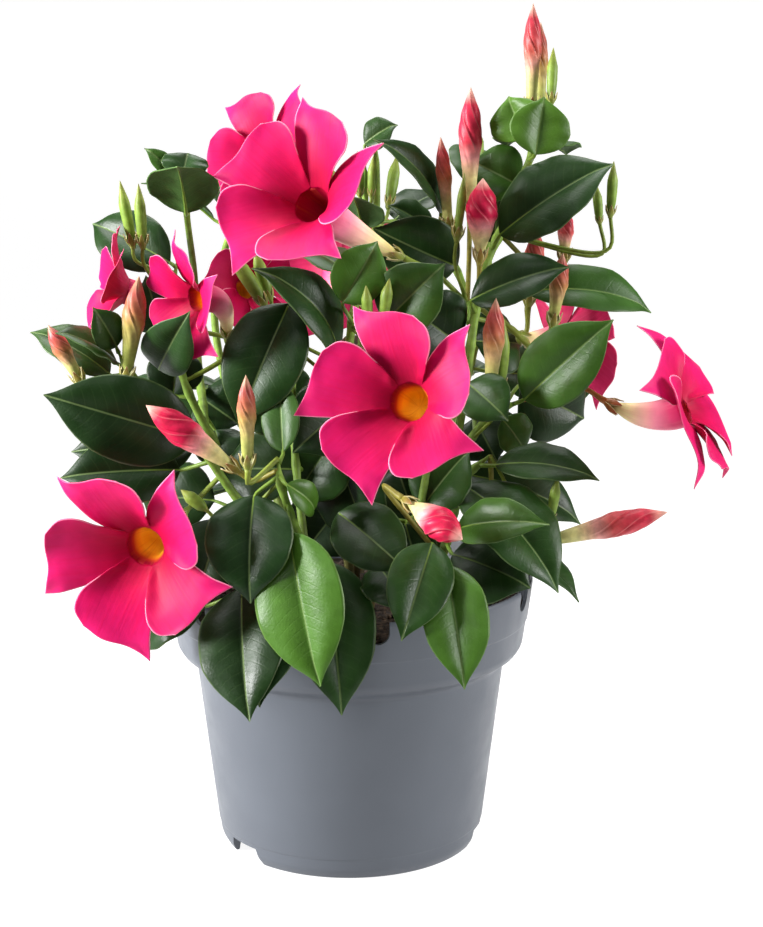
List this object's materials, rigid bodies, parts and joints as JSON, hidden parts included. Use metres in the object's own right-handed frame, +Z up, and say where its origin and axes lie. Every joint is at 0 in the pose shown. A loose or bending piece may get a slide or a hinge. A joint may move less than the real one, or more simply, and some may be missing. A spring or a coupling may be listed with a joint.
{
  "type": "potted climbing plant",
  "caption": "Potted mandevilla: leafy twining stems with open trumpet blooms and furled buds rise from soil in a round moulded plastic pot with a deep rim band.",
  "frame": {"origin": "middle of the pot's underside, on the surface it stands on", "axes": "+Z up; the side of the plant with the most blooms looks along -Y"},
  "size_m": [0.3099, 0.2613, 0.384],
  "materials": {
    "pot_plastic": "satin",
    "potting_soil": "matte",
    "leaf_green": "satin",
    "young_leaf_green": "satin",
    "petal_pink": "matte",
    "bud_crimson": "satin",
    "bud_salmon": "satin"
  },
  "bodies": {
    "root": {"pot": "pot_plastic", "soil": "potting_soil", "stem_back_left": "leaf_green", "stem_back_low": "leaf_green", "stem_back_mid": "leaf_green", "stem_back_right": "leaf_green", "stem_crown": "leaf_green", "stem_front": "young_leaf_green", "stem_left": "young_leaf_green", "stem_low": "young_leaf_green", "stem_mid": "leaf_green", "stem_right": "leaf_green", "stem_tall": "leaf_green", "stem_wing": "leaf_green", "flower_back_right": "petal_pink", "flower_back_top": "petal_pink", "flower_crest": "petal_pink", "flower_crest_back": "petal_pink", "flower_far_left": "petal_pink", "flower_front": "petal_pink", "flower_left": "petal_pink", "flower_left_back": "petal_pink", "flower_low": "petal_pink", "flower_side": "petal_pink", "bud_far_a": "bud_crimson", "bud_far_b": "bud_crimson", "bud_fat": "bud_crimson", "bud_low_red": "bud_crimson", "bud_peak": "bud_crimson", "bud_right_a": "bud_crimson", "bud_right_b": "bud_crimson", "bud_right_c": "bud_crimson", "bud_right_low": "bud_salmon", "bud_salmon": "bud_salmon", "bud_slim": "bud_crimson", "bud_top_a": "bud_crimson", "bud_top_b": "bud_crimson", "bud_twin": "bud_crimson", "bud_upright": "bud_crimson"}
  },
  "joints": []
}
